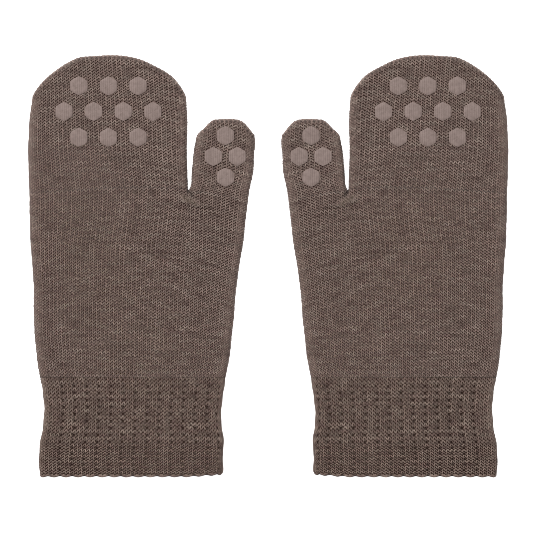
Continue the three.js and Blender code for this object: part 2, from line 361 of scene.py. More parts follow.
def knit_mesh(name, tube, place, look, side, lean_in):
    """The closed wall of one tube as a mesh, with its stitch coordinates as UV and attributes."""
    fine = np.arange(2 * tube["wales"] * STEPS_PER_WALE) / STEPS_PER_WALE
    fine_rows = np.arange(tube["courses"] * STEPS_PER_COURSE + 1) / STEPS_PER_COURSE
    last_row = tube["courses"] - (0 if "tip" in tube else 0.5)
    coarse_rows = np.linspace(0.5, last_row, 12 if "tip" in tube else 8)
    outside, away, around, course, looks = knit_grid(tube, place, look, fine, fine_rows, lean_in)
    inside, away_in, around_in, course_in, looks_in = knit_grid(
        tube, place, look, fine[::INNER_STEP], coarse_rows, np.zeros_like
    )
    inside = inside - KNIT_WALL * away_in
    points = np.concatenate([outside.reshape(-1, 3), inside.reshape(-1, 3)])
    directions = np.concatenate([away.reshape(-1, 3), 0 * away_in.reshape(-1, 3)])
    stitch = np.concatenate([
        np.stack([around, course], -1).reshape(-1, 2),
        np.stack([around_in, course_in], -1).reshape(-1, 2),
    ])
    looks = [np.concatenate([a.ravel(), b.ravel()]) for a, b in zip(looks, looks_in)]
    rings = np.arange(around.size).reshape(around.shape)
    rings_in = around.size + np.arange(around_in.size).reshape(around_in.shape)
    walls = [band_faces(low, high) for low, high in zip(rings[:-1], rings[1:])]
    walls += [band_faces(low, high)[:, ::-1] for low, high in zip(rings_in[:-1], rings_in[1:])]
    rims = [rim_faces(rings[0], rings_in[0])]
    if "tip" not in tube:
        rims.append(rim_faces(rings[-1], rings_in[-1])[:, ::-1])
    faces = np.concatenate(walls + rims)
    smooth = np.arange(len(faces)) < sum(len(wall) for wall in walls)

    # The last column runs on past the first, so its stitch coordinate goes on counting there
    corner = stitch[faces]
    full = 2 * tube["wales"]
    wraps = corner[..., 0].max(1) - corner[..., 0].min(1) > full / 2
    corner[..., 0] += np.where(wraps[:, None] & (corner[..., 0] < full / 2), full, 0)

    # One vertex where the layers meet in a closed tip, and no faces without area
    _, first, same = np.unique(np.round(points, 4), axis=0, return_index=True, return_inverse=True)
    faces = same.reshape(-1)[faces]
    whole = (faces[:, 0] != faces[:, 1]) & (faces[:, 1] != faces[:, 2]) & (faces[:, 0] != faces[:, 2])
    faces, corner, smooth = faces[whole], corner[whole], smooth[whole]
    points, directions, stitch = points[first], directions[first], stitch[first]
    points = np.stack([side * (HAND_LINE_X - points[:, 0]), points[:, 1] - LENGTH / 2, points[:, 2]], -1)
    directions = directions * [-side, 1, 1]
    if side > 0:
        faces, corner = faces[:, ::-1], corner[:, ::-1]

    mesh = bpy.data.meshes.new(name)
    mesh.vertices.add(len(points))
    mesh.vertices.foreach_set("co", (points * MM).ravel())
    mesh.loops.add(faces.size)
    mesh.loops.foreach_set("vertex_index", faces.ravel().astype(np.int32))
    mesh.polygons.add(len(faces))
    mesh.polygons.foreach_set("loop_start", np.arange(0, faces.size, 3, dtype=np.int32))
    mesh.update(calc_edges=True)
    mesh.polygons.foreach_set("use_smooth", smooth)
    mesh.uv_layers.new(name="Stitches").data.foreach_set("uv", corner.reshape(-1, 2).ravel())
    fields = {"wale": stitch[:, 0], "course": stitch[:, 1]}
    for key, values in zip(("open_gaps", "tone_and_painted_light", "press", "slant"), looks):
        fields[key] = values[first]
    for key, values in fields.items():
        mesh.attributes.new(key, "FLOAT", "POINT").data.foreach_set("value", values.astype(np.float32))
    outward = mesh.attributes.new("outward", "FLOAT_VECTOR", "POINT")
    outward.data.foreach_set("vector", directions.astype(np.float32).ravel())
    mesh.validate()
    return mesh


def node(tree, kind, links=(), output=0, stops=(), **settings):
    """Add a node with its settings, link or set its inputs, and give back one output. The inputs
    come in order, or in a dictionary by name or number, and a colour ramp's stops from low to high."""
    made = tree.nodes.new(kind)
    for key, value in settings.items():
        setattr(made, key, value)
    for k, (position, colour) in enumerate(stops):
        if k == len(made.color_ramp.elements):
            made.color_ramp.elements.new(position)
        made.color_ramp.elements[k].position = position
        made.color_ramp.elements[k].color = from_hex(colour)
    for key, value in links.items() if isinstance(links, dict) else enumerate(links):
        if isinstance(value, bpy.types.NodeSocket):
            tree.links.new(value, made.inputs[key])
        else:
            made.inputs[key].default_value = value
    return made.outputs[output] if len(made.outputs) else made


# Blender's names for the nodes that reckon with numbers and with vectors
MATH = "ShaderNodeMath"
VECTORS = "ShaderNodeVectorMath"


def wave(tree, value, turns, kind="COSINE"):
    """A cosine or sine of a value, with so many turns for each one."""
    angle = node(tree, MATH, (value, 2 * math.pi * turns), operation="MULTIPLY")
    return node(tree, MATH, (angle,), operation=kind)


GAP_AT_POINT = 1.65  # the round hole under each stitch's point and inside its V
GAP_BY_LEG = (0.02, 0.6)  # the narrow gap beside its left and its right leg


def straight_course(tree, wale, course):
    """The course that is level with a place, where the stitch legs climb away from their own."""
    climb = node(tree, MATH, (wale,), operation="FRACT")
    climb = node(tree, MATH, (climb, 2.0, -1.0), operation="MULTIPLY_ADD")
    climb = node(tree, MATH, (climb,), operation="ABSOLUTE")
    return node(tree, MATH, (climb, LEG_LEAN, course), operation="MULTIPLY_ADD")


def stitch_gaps(tree, wale, course, slant):
    """How deep the gap is at each place of plain knit, from 0 on the yarn to 1 in a hole."""
    between = node(tree, MATH, (wave(tree, course, 1), 0.5, 0.5), operation="MULTIPLY_ADD")
    between = node(tree, MATH, (between, 2.05), operation="POWER")
    left, right = GAP_BY_LEG
    swing = (2 * GAP_AT_POINT - left - right) / 4
    mean = (2 * GAP_AT_POINT + left + right) / 4
    holes = node(tree, MATH, (wave(tree, wale, 2), swing, mean), operation="MULTIPLY_ADD")
    by_leg = wave(tree, wale, 1, "SINE")
    holes = node(tree, MATH, (by_leg, (left - right) / 2, holes), operation="MULTIPLY_ADD")
    holes = node(tree, MATH, (between, holes), operation="MULTIPLY")
    holes = node(tree, MATH, (holes, 1.0), operation="MINIMUM")
    # Round a fold only the legs of one side show, as slanting strokes
    stroke = node(tree, MATH, (straight_course(tree, wale, course), wale), operation="SUBTRACT")
    stroke = node(tree, MATH, (wave(tree, stroke, 1), 0.5, 0.5), operation="MULTIPLY_ADD")
    stroke = node(tree, MATH, (stroke, 1.5), operation="POWER")
    stroke = node(tree, MATH, (stroke, 0.7), operation="MULTIPLY")
    change = node(tree, MATH, (stroke, holes), operation="SUBTRACT")
    change = node(tree, MATH, (change, slant), operation="MULTIPLY")
    return node(tree, MATH, (change, 0.8, holes), operation="MULTIPLY_ADD")


def new_tree(name, result, **inputs):
    """A geometry tree with named inputs and one result, and the node that holds its inputs."""
    tree = bpy.data.node_groups.new(name, "GeometryNodeTree")
    for key, kind in inputs.items():
        label = key.replace("_", " ")
        tree.interface.new_socket(label, in_out="INPUT", socket_type="NodeSocket" + kind)
    tree.interface.new_socket(result, in_out="OUTPUT", socket_type="NodeSocketGeometry")
    return tree, tree.nodes.new("NodeGroupInput")


def press_in(tree, wall, depth, yarn):
    """Ends a tree: moves a wall in by a depth, against its outward directions, in its yarn."""
    outward = node(tree, "GeometryNodeInputNamedAttribute", ("outward",), data_type="FLOAT_VECTOR")
    inward = node(tree, MATH, (depth, -1.0), operation="MULTIPLY")
    offset = node(tree, VECTORS, {0: outward, "Scale": inward}, operation="SCALE")
    moved = node(tree, "GeometryNodeSetPosition", {0: wall, "Offset": offset})
    real = node(tree, "GeometryNodeRealizeInstances", (moved,))
    dressed = node(tree, "GeometryNodeSetMaterial", {0: real, "Material": yarn})
    node(tree, "NodeGroupOutput", (dressed,))


def stitch_tree():
    """Presses the gaps between the stitches into a knit wall."""
    tree, entry = new_tree(
        "Stitches", "Knit", Wall="Geometry", Gap_Depth="Float", Unevenness="Float", Yarn="Material"
    )
    wale, course, opened, press, slant = (
        node(tree, "GeometryNodeInputNamedAttribute", (key,), data_type="FLOAT")
        for key in ("wale", "course", "open_gaps", "press", "slant")
    )
    place = node(tree, "ShaderNodeCombineXYZ", (wale, course))
    chance = node(tree, "ShaderNodeTexNoise", {"Vector": place, "Scale": 0.7, "Detail": 2.0})
    vary = node(tree, MATH, (chance, 0.5), operation="SUBTRACT")
    vary = node(tree, MATH, (vary, entry.outputs[2], 1.0), operation="MULTIPLY_ADD")
    depth = node(tree, MATH, (stitch_gaps(tree, wale, course, slant), opened), operation="MULTIPLY")
    depth = node(tree, MATH, (depth, vary), operation="MULTIPLY")
    depth = node(tree, MATH, (depth, entry.outputs[1]), operation="MULTIPLY")
    depth = node(tree, MATH, (press, MM, depth), operation="MULTIPLY_ADD")
    press_in(tree, entry.outputs[0], depth, entry.outputs[3])
    return tree


def grown(name, mesh, tree, **inputs):
    """A mesh after its node tree, as a plain object whose place is in its mesh."""
    start = bpy.data.objects.new(name + "_start", mesh)
    bpy.context.scene.collection.objects.link(start)
    maker = start.modifiers.new("Maker", "NODES")
    maker.node_group = tree
    for item in tree.interface.items_tree:
        key = item.name.replace(" ", "_")
        if item.in_out == "INPUT" and key in inputs:
            maker[item.identifier] = inputs[key]
    seen = start.evaluated_get(bpy.context.evaluated_depsgraph_get())
    made = bpy.data.meshes.new_from_object(seen)
    start.modifiers.remove(maker)
    bpy.data.objects.remove(start)
    bpy.data.meshes.remove(mesh)
    made.name = name
    piece = bpy.data.objects.new(name, made)
    bpy.context.scene.collection.objects.link(piece)
    return piece


def from_hex(code):
    """An sRGB colour such as #655750, as the linear values that nodes take."""
    parts = [int(code[i:i + 2], 16) / 255 for i in (1, 3, 5)]
    return (*(c / 12.92 if c <= 0.04045 else ((c + 0.055) / 1.055) ** 2.4 for c in parts), 1.0)


def blank_material(name):
    """A material with an empty node tree, and that tree."""
    material = bpy.data.materials.new(name)
    material.use_nodes = True
    material.node_tree.nodes.clear()
    return material, material.node_tree


def melange_yarn(name, light, middle, dark, extra_gaps=None):
    """Matt wool and cotton yarn, spun from brown, grey and plum fibres, in rows of stitches. All
    its patterns are sized in stitches: a wale is 1.66 mm wide and a course about 1.09 mm high."""
    material, tree = blank_material(name)
    place = node(tree, "ShaderNodeUVMap", uv_map="Stitches")
    split = node(tree, "ShaderNodeSeparateXYZ", (place,)).node
    wale, course = split.outputs[0], split.outputs[1]
    opened = node(tree, "ShaderNodeAttribute", attribute_name="open_gaps", output=2)
    tone_and_painted_light = node(tree, "ShaderNodeAttribute", attribute_name="tone_and_painted_light", output=2)
    slant = node(tree, "ShaderNodeAttribute", attribute_name="slant", output=2)

    # Each hole is a little more or less open than the next, so its painted shade is deeper or fainter
    half_wales = node(tree, MATH, (wale, 2.0), operation="MULTIPLY")
    hole_place = node(tree, "ShaderNodeCombineXYZ", (
        node(tree, MATH, (half_wales,), operation="ROUND"),
        node(tree, MATH, (course,), operation="ROUND"),
    ))
    hole_chance = node(tree, "ShaderNodeTexWhiteNoise", (hole_place,), noise_dimensions="2D")
    hole_vary = node(tree, MATH, (hole_chance, 0.75, 0.70), operation="MULTIPLY_ADD")
    painted_gap_shade = node(tree, MATH, (stitch_gaps(tree, wale, course, slant), hole_vary), operation="MULTIPLY")
    painted_gap_shade = node(tree, MATH, (painted_gap_shade, opened), operation="MULTIPLY")
    if extra_gaps:
        extra = extra_gaps(tree, wale, course)
        painted_gap_shade = node(tree, MATH, (extra, hole_vary, painted_gap_shade), operation="MULTIPLY_ADD")
    painted_gap_shade = node(tree, MATH, (painted_gap_shade, 0.97), operation="MINIMUM")

    # Loops bend back under their neighbours at the points, so the points get a little painted shade
    ends = node(tree, MATH, (wave(tree, wale, 2), 0.5, 0.5), operation="MULTIPLY_ADD")
    ends = node(tree, MATH, (ends, opened), operation="MULTIPLY")
    ends = node(tree, MATH, (ends, -0.15, 0.91), operation="MULTIPLY_ADD")
    leg_place = node(tree, "ShaderNodeCombineXYZ", (
        node(tree, MATH, (half_wales,), operation="FLOOR"),
        node(tree, MATH, (course,), operation="FLOOR"),
    ))
    leg_chance = node(tree, "ShaderNodeTexWhiteNoise", (leg_place,), noise_dimensions="2D")
    leg_vary = node(tree, MATH, (leg_chance, 0.45, 0.775), operation="MULTIPLY_ADD")
    light_there = node(tree, MATH, (ends, leg_vary), operation="MULTIPLY")
    light_there = node(tree, MATH, (light_there, tone_and_painted_light), operation="MULTIPLY")
    wide = node(tree, "ShaderNodeMapping", {0: place, "Scale": (0.11, 0.33, 1.0)})
    wide = node(tree, "ShaderNodeTexNoise", {"Vector": wide, "Scale": 1.0, "Detail": 2.0})
    wide = node(tree, MATH, (wide, 0.7, 0.65), operation="MULTIPLY_ADD")
    light_there = node(tree, MATH, (light_there, wide), operation="MULTIPLY")

    # Single fibres catch the light in flecks. Real ones are finer, and would not show from here.
    fleck = node(tree, "ShaderNodeTexNoise", {"Vector": place, "Scale": 2.1, "Detail": 2.0})
    fleck = node(tree, MATH, (fleck, 1.8, 0.1), operation="MULTIPLY_ADD")
    light_there = node(tree, MATH, (light_there, fleck), operation="MULTIPLY")

    # Fibres of one colour run along the yarn for a few stitches, so the patches lie along the courses
    patch = node(tree, "ShaderNodeMapping", {0: place, "Scale": (0.3, 0.8, 1.0)})
    tint = node(tree, "ShaderNodeTexNoise", {"Vector": patch, "Scale": 1.0, "Detail": 3.0})
    fibres = ((0.34, dark), (0.5, middle), (0.66, light))
    yarn = node(tree, "ShaderNodeValToRGB", (tint,), stops=fibres)
    lit = node(tree, VECTORS, {0: yarn, "Scale": light_there}, operation="SCALE")
    # Painted shade: the gaps and holes between stitches are mixed toward near-black, by how deep each is
    mixer = node(tree, "ShaderNodeMix", data_type="RGBA", output=2).node
    tree.links.new(painted_gap_shade, mixer.inputs["Factor"])
    colours = [item for item in mixer.inputs if item.type == "RGBA"]
    tree.links.new(lit, colours[0])
    colours[1].default_value = from_hex("#27140b")
    shader = node(tree, "ShaderNodeBsdfPrincipled", {
        "Base Color": mixer.outputs[2],
        "Roughness": 0.95,
        "Specular IOR Level": 0.15,
        "Sheen Weight": 0.1,
        "Sheen Roughness": 0.6,
    })
    node(tree, "ShaderNodeOutputMaterial", (shader,))
    return material


hand_yarn = melange_yarn("Melange yarn in plain knit", light="#8e7e75", middle="#826f67", dark="#725f59")
stitches = stitch_tree()
SIDES = {"right_hand": -1, "left_hand": 1}
for hand, side in SIDES.items():
    for part, tube, place in (
        ("palm", PALM, palm_place),
        ("fingers", FINGERS, pouch_place),
        ("thumb", THUMB, pouch_place),
    ):
        mesh = knit_mesh(f"{hand}_{part}_knit", tube, place, hand_look, side, np.ones_like)
        piece = grown(
            f"{hand}_{part}_knit", mesh, stitches,
            Gap_Depth=GAP_DEPTH * MM, Unevenness=GAP_UNEVENNESS, Yarn=hand_yarn,
        )
        heights = np.linspace(tube["bottom"], tube["top"], 30)
        widths = tube["right"](heights) - tube["left"](heights) + 2 * FOLD_EXTRA
        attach(piece, "root")
        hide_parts(f"{hand}_{part}")

# Join stitches
# Four short loops of the same yarn, sewn by hand over the crotch where the thumb and the fingers
# part. They draw the cloth together there and close the gap between the two pouches.

STRAND = 0.23  # radius of the sewing yarn
STRAND_SUNK = 0.45  # how far below the knit's face a loop's ends lie
LOOP_RISE = 0.6  # from its ends to its middle
LOOP_POINTS = 15
FIBRES_PER_MM = 1.6
RAY_START = 10.0  # the rays that look for the knit start this far above the floor
LOOPS = [  # the two ends of each loop: x and y on the finger side, x and y on the thumb side
    (27.3, 109.0, 33.0, 106.3), (27.6, 108.3, 34.2, 105.4), (28.2, 107.5, 34.9, 104.6),
    (29.3, 106.5, 34.2, 104.2),
]


def gather_knit(hand, *parts):
    """A collection of some knit pieces of one hand, for the rays to find."""
    group = bpy.data.collections.new("knit_below")
    bpy.context.scene.collection.children.link(group)
    for part in parts:
        group.objects.link(bpy.data.objects[f"{hand}_{part}_knit"])
    return group


def fall_to_knit(tree, below, place):
    """How far a ray falls from RAY_START above a place on the floor until it meets the knit."""
    knit = node(tree, "GeometryNodeCollectionInfo", (below,), transform_space="RELATIVE")
    knit = node(tree, "GeometryNodeRealizeInstances", (knit,))
    above = node(tree, VECTORS, (place, (0.0, 0.0, RAY_START * MM)), operation="ADD")
    return node(tree, "GeometryNodeRaycast", {
        "Target Geometry": knit,
        "Source Position": above,
        "Ray Direction": (0.0, 0.0, -1.0),
        "Ray Length": 1.0,
    }, output="Hit Distance")


def loop_tree():
    """Lays each line of points on the knit below it and makes it a round strand of yarn."""
    tree, entry = new_tree(
        "Join stitches", "Loops",
        Lines="Geometry", Strand_Radius="Float", Knit_Below="Collection", Yarn="Material",
    )
    place = node(tree, "GeometryNodeInputPosition")
    lift = node(tree, "GeometryNodeInputNamedAttribute", ("lift",), data_type="FLOAT")
    fall = fall_to_knit(tree, entry.outputs[2], place)
    rise = node(tree, MATH, (RAY_START * MM, fall), operation="SUBTRACT")
    rise = node(tree, MATH, (rise, lift), operation="ADD")
    rise = node(tree, "GeometryNodeBlurAttribute", {"Value": rise, "Iterations": 2}, data_type="FLOAT")
    offset = node(tree, "ShaderNodeCombineXYZ", {2: rise})
    laid = node(tree, "GeometryNodeSetPosition", {0: entry.outputs[0], "Offset": offset})
    line = node(tree, "GeometryNodeMeshToCurve", (laid,))
    ring = node(tree, "GeometryNodeCurvePrimitiveCircle", {"Resolution": 10, "Radius": entry.outputs[1]})
    strand = node(tree, "GeometryNodeCurveToMesh", {0: line, 1: ring, "Fill Caps": True})
    real = node(tree, "GeometryNodeRealizeInstances", (strand,))
    dressed = node(tree, "GeometryNodeSetMaterial", {0: real, "Material": entry.outputs[3]})
    node(tree, "NodeGroupOutput", (dressed,))
    return tree


def strand_yarn(name):
    """The same yarn in one strand: brown and grey fibres lie in short dashes along it."""
    material, tree = blank_material(name)
    place = node(tree, "ShaderNodeTexCoord", output="Object")
    fibres = {"Vector": place, "Scale": FIBRES_PER_MM / MM, "Detail": 3.0}
    fibres = node(tree, "ShaderNodeTexNoise", fibres)
    shader = node(tree, "ShaderNodeBsdfPrincipled", {
        "Base Color": node(
            tree, "ShaderNodeValToRGB", (fibres,), stops=((0.35, "#50433a"), (0.65, "#8a7a70"))
        ),
        "Roughness": 0.95,
        "Specular IOR Level": 0.15,
    })
    node(tree, "ShaderNodeOutputMaterial", (shader,))
    return material


sewing_yarn = strand_yarn("Melange yarn, single strand")
loops = loop_tree()
for hand, side in SIDES.items():
    share = np.linspace(0, 1, LOOP_POINTS)
    arc = np.sin(math.pi * share)
    points, edges, lifts = [], [], []
    for x0, y0, x1, y1 in LOOPS:
        x = x0 + (x1 - x0) * share + 0.08 * np.sin(9 * share + x0)
        y = y0 + (y1 - y0) * share + 0.35 * arc
        edges += [(len(points) + k, len(points) + k + 1) for k in range(len(share) - 1)]
        points += [(side * (HAND_LINE_X - a) * MM, (b - LENGTH / 2) * MM, 0.0) for a, b in zip(x, y)]
        lifts.append((-STRAND_SUNK + LOOP_RISE * np.sqrt(arc.clip(0, 1))) * MM)
    mesh = bpy.data.meshes.new("lines")
    mesh.from_pydata(points, edges, [])
    mesh.attributes.new("lift", "FLOAT", "POINT").data.foreach_set("value", np.concatenate(lifts))
    below = gather_knit(hand, "palm", "fingers", "thumb")
    piece = grown(
        f"{hand}_join_stitches", mesh, loops,
        Strand_Radius=STRAND * MM, Knit_Below=below, Yarn=sewing_yarn,
    )
    bpy.data.collections.remove(below)
    piece.data.shade_smooth()
    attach(piece, "root")

# Cuff
# An elastic tube in the same yarn: ribs three wales wide with a tuck hole in every second course
# between them, and below them a denser band that ends in a soft scalloped hem, knitted on.

CUFF_TOP = 38.2
CUFF_BAND = 12.6  # height of the denser band
BAND_COURSES = 12
CUFF_COURSES = 31
CUFF_WALES = 48
RIB_WALES = 3
SCALLOP = 0.45
FURROW_DEPTH = 0.3
TUCK_DEPTH = 0.3
CUFF_OUTER_FOLD = [
    (0, -26.6), (2.4, -26.9), (8, -27.0), (12.6, -26.8), (15.5, -26.3), (21.9, -25.4), (27.7, -25.2),
    (33.5, -25.8), (38.2, -26.5),
]
CUFF_THUMB_FOLD = [
    (0, 42.9), (1.2, 43.8), (8, 44.1), (12.6, 44.6), (15.5, 44.5), (21.9, 43.7), (27.7, 43.9),
    (33.5, 44.7), (38.2, 45.1),
]


def cuff_outer_fold(y):
    uneven = 0.10 * np.sin(y / 1.3) * smooth_step(0, 3, y) * (1 - smooth_step(35, 38, y))
    return along_fold(CUFF_OUTER_FOLD, y) + uneven


def cuff_thumb_fold(y):
    uneven = 0.10 * np.sin(y / 1.1 + 0.6) * smooth_step(0, 3, y) * (1 - smooth_step(35, 38, y))
    return along_fold(CUFF_THUMB_FOLD, y) + uneven


def cuff_height(course):
    band = CUFF_BAND * course / BAND_COURSES
    share = (course - BAND_COURSES) / (CUFF_COURSES - BAND_COURSES)
    ribbed = CUFF_BAND + (CUFF_TOP - CUFF_BAND) * share
    return np.where(course < BAND_COURSES, band, ribbed)


CUFF = {
    "left": cuff_outer_fold, "right": cuff_thumb_fold, "bottom": 0.0, "top": CUFF_TOP,
    "wales": CUFF_WALES, "courses": CUFF_COURSES + 1, "pitch": 1.0,
}


def cuff_place(tube, wale, over, y, level):
    """The cuff: its hem is scalloped by the ribs, and a little higher at the thumb's side."""
    height = cuff_height(level)
    between = 0.5 + 0.5 * np.cos(2 * math.pi * wale / RIB_WALES)
    height = height + SCALLOP * between * (1 - smooth_step(0, 2.5, level))
    across = wale / tube["wales"]
    height = height + 0.8 * smooth_step(0.76, 0.97, across) * (1 - smooth_step(0, 6, level))
    # The ribs are even across the middle, and the wales crowd together towards the folds
    spread = 1.034 * across - 0.003 * smooth_step(0, 0.125, across)
    spread = spread - 0.031 * smooth_step(0.90, 1, across)
    left, right = tube["left"](height), tube["right"](height)
    return on_tube(spread, over, left, right, height)


def cuff_look(tube, point, inside):
    """Folds closer and painted lighter, the band a little denser, and the hem's edge turned in and
    painted lighter.
    """
    y = point[..., 1]
    open_gaps = 0.72 + 0.25 * smooth_step(0.8, 3.5, inside) + 0.60 * (y < CUFF_BAND)
    open_gaps = open_gaps * smooth_step(0.1, 1.0, y)
    # Painted light along the folds
    tone_and_painted_light = 1.02 + 0.08 * (1 - smooth_step(1.5, 4.0, inside))
    tone_and_painted_light = tone_and_painted_light - 0.16 * np.exp(-(((y - CUFF_BAND - 0.4) / 0.5) ** 2))
    # Painted light on the hem's turned edge, and the band a little lighter
    tone_and_painted_light = tone_and_painted_light + 0.10 * (1 - smooth_step(0.7, 1.5, y)) + 0.17 * (y < CUFF_BAND)
    press = 0.35 * np.clip(1 - y / 0.9, 0, 1) ** 2
    press = press + 0.3 * smooth_step(CUFF_TOP - 0.4, CUFF_TOP + 0.4, y)
    return open_gaps, tone_and_painted_light, press, 0.5 * (1 - smooth_step(1.0, 3.0, inside))


def furrows(tree, wale):
    """A wave over the wales: 1 in each furrow between two ribs and 0 on the ribs."""
    return node(tree, MATH, (wave(tree, wale, 1 / RIB_WALES), 0.5, 0.5), operation="MULTIPLY_ADD")


def rib_gaps(tree, wale, course):
    """The tuck holes between the ribs: in every second course, closed in the folds."""
    column = node(tree, MATH, (furrows(tree, wale), 16.0), operation="POWER")
    level = node(tree, MATH, (straight_course(tree, wale, course), LEG_LEAN), operation="SUBTRACT")
    row = node(tree, MATH, (wave(tree, level, 0.5), 0.5, 0.5), operation="MULTIPLY_ADD")
    row = node(tree, MATH, (row, 3.0), operation="POWER")
    row = node(tree, MATH, (row, 2.8, -0.3), operation="MULTIPLY_ADD")
    band, top = float(BAND_COURSES), float(CUFF_COURSES)
    above = node(tree, "ShaderNodeMapRange", (course, band - 0.5, band + 1.5, 0.9, 1.0))
    below_palm = node(tree, "ShaderNodeMapRange", (course, top - 4.5, top - 1.0, 1.0, 0.3))
    fold = float(CUFF_WALES)
    from_fold = node(tree, MATH, (wale, fold), operation="PINGPONG")
    past_outer = node(tree, "ShaderNodeMapRange", (from_fold, 3.5, 5.0))
    before_thumb = node(tree, "ShaderNodeMapRange", (from_fold, fold - 0.5, fold - 2.0))
    holes = node(tree, MATH, (column, row), operation="MULTIPLY")
    for limit in (above, below_palm, past_outer, before_thumb):
        holes = node(tree, MATH, (holes, limit), operation="MULTIPLY")
    return holes


def rib_tree():
    """Presses the furrows and tuck holes between the ribs into a wall that has its stitches."""
    tree, entry = new_tree(
        "Ribs", "Knit", Wall="Geometry", Furrow_Depth="Float", Tuck_Depth="Float", Yarn="Material"
    )
    wale = node(tree, "GeometryNodeInputNamedAttribute", ("wale",), data_type="FLOAT")
    course = node(tree, "GeometryNodeInputNamedAttribute", ("course",), data_type="FLOAT")
    band, top = float(BAND_COURSES), float(CUFF_COURSES)
    above = node(tree, "ShaderNodeMapRange", (course, band - 2.0, band + 3.0, 0.4, 1.0))
    below_palm = node(tree, "ShaderNodeMapRange", (course, top - 4.0, top, 1.0, 0.0))
    furrow = node(tree, MATH, (furrows(tree, wale), 1.5), operation="POWER")
    for limit in (above, below_palm, entry.outputs[1]):
        furrow = node(tree, MATH, (furrow, limit), operation="MULTIPLY")
    holes = rib_gaps(tree, wale, course)
    depth = node(tree, MATH, (holes, entry.outputs[2], furrow), operation="MULTIPLY_ADD")
    press_in(tree, entry.outputs[0], depth, entry.outputs[3])
    return tree


def cuff_lean(course):
    return np.clip(course, 0, 1)


cuff_yarn = melange_yarn(
    "Melange yarn in ribs with tuck holes",
    light="#88786e", middle="#7b6960", dark="#6b5852", extra_gaps=rib_gaps,
)
ribs = rib_tree()
for hand, side in SIDES.items():
    mesh = knit_mesh(f"{hand}_cuff_knit", CUFF, cuff_place, cuff_look, side, cuff_lean)
    stitched = grown(
        f"{hand}_cuff_stitched", mesh, stitches,
        Gap_Depth=GAP_DEPTH * MM, Unevenness=GAP_UNEVENNESS, Yarn=cuff_yarn,
    )
    mesh = stitched.data
    bpy.data.objects.remove(stitched)
    piece = grown(
        f"{hand}_cuff_knit", mesh, ribs,
        Furrow_Depth=FURROW_DEPTH * MM, Tuck_Depth=TUCK_DEPTH * MM, Yarn=cuff_yarn,
    )
    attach(piece, "root")
    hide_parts(f"{hand}_cuff")

# Grip pads
# Thin silicone printed on the palm side in small hexagons, ten on the fingers and four on the
# thumb. It has soaked a little into the yarn, so the columns of stitches show through it.

PAD_ACROSS = 6.6
PAD_TOP = 0.42  # above the flat layer of knit
PAD_SUNK = 0.5
PAD_EDGE_DROP = 0.22  # how far the rounded edge falls below the top
PAD_CORNER = 14  # the higher, the sharper the hexagon's corners
PAD_ROUNDS = 8
PAD_STEPS = 60
PAD_WAVES = 0.12
WAVES_PER_MM = 0.9
CLOUDS_PER_MM = 0.7
STREAK = 0.83  # from one column of stitch legs to the next
FINGER_PADS = {"x": 0.0, "pitch": 11.4, "rows": [(131.0, 3), (140.9, 4), (150.8, 3)]}
THUMB_PADS = {"x": 45.0, "pitch": 9.2, "rows": [(115.6, 1), (123.6, 2), (131.6, 1)]}


def pad_mesh(material):
    """One closed pad: a hexagon with soft corners, a flat top and a rounded edge."""
    turn = np.arange(PAD_STEPS) / PAD_STEPS * 2 * math.pi
    in_side = (turn - math.pi / 6) % (math.pi / 3) - math.pi / 6
    sharp = 1 / np.cos(np.abs(in_side))
    reach = PAD_ACROSS / 2 * (sharp ** -PAD_CORNER + 1.135 ** -PAD_CORNER) ** (-1 / PAD_CORNER) * 1.02
    shares = np.sin(np.linspace(0, math.pi / 2, PAD_ROUNDS + 1)[1:])
    heights = PAD_TOP - PAD_EDGE_DROP * shares ** 6
    points = [(0.0, 0.0, PAD_TOP)]
    for share, height in zip(shares, heights):
        ring = share * reach
        points += [(r * math.cos(t), r * math.sin(t), height) for r, t in zip(ring, turn)]
    points += [(r * math.cos(t), r * math.sin(t), -PAD_SUNK) for r, t in zip(reach, turn)]
    points.append((0.0, 0.0, -PAD_SUNK))
    faces = [(0, 1 + k, 1 + (k + 1) % PAD_STEPS) for k in range(PAD_STEPS)]
    for ring in range(PAD_ROUNDS):
        low, high = 1 + ring * PAD_STEPS, 1 + (ring + 1) * PAD_STEPS
        for k in range(PAD_STEPS):
            after = (k + 1) % PAD_STEPS
            faces.append((low + k, high + k, high + after, low + after))
    last, end = 1 + PAD_ROUNDS * PAD_STEPS, len(points) - 1
    faces += [(end, last + (k + 1) % PAD_STEPS, last + k) for k in range(PAD_STEPS)]
    mesh = bpy.data.meshes.new("pad")
    mesh.from_pydata([tuple(c * MM for c in point) for point in points], [], faces)
    mesh.shade_smooth()
    mesh.materials.append(material)
    return mesh


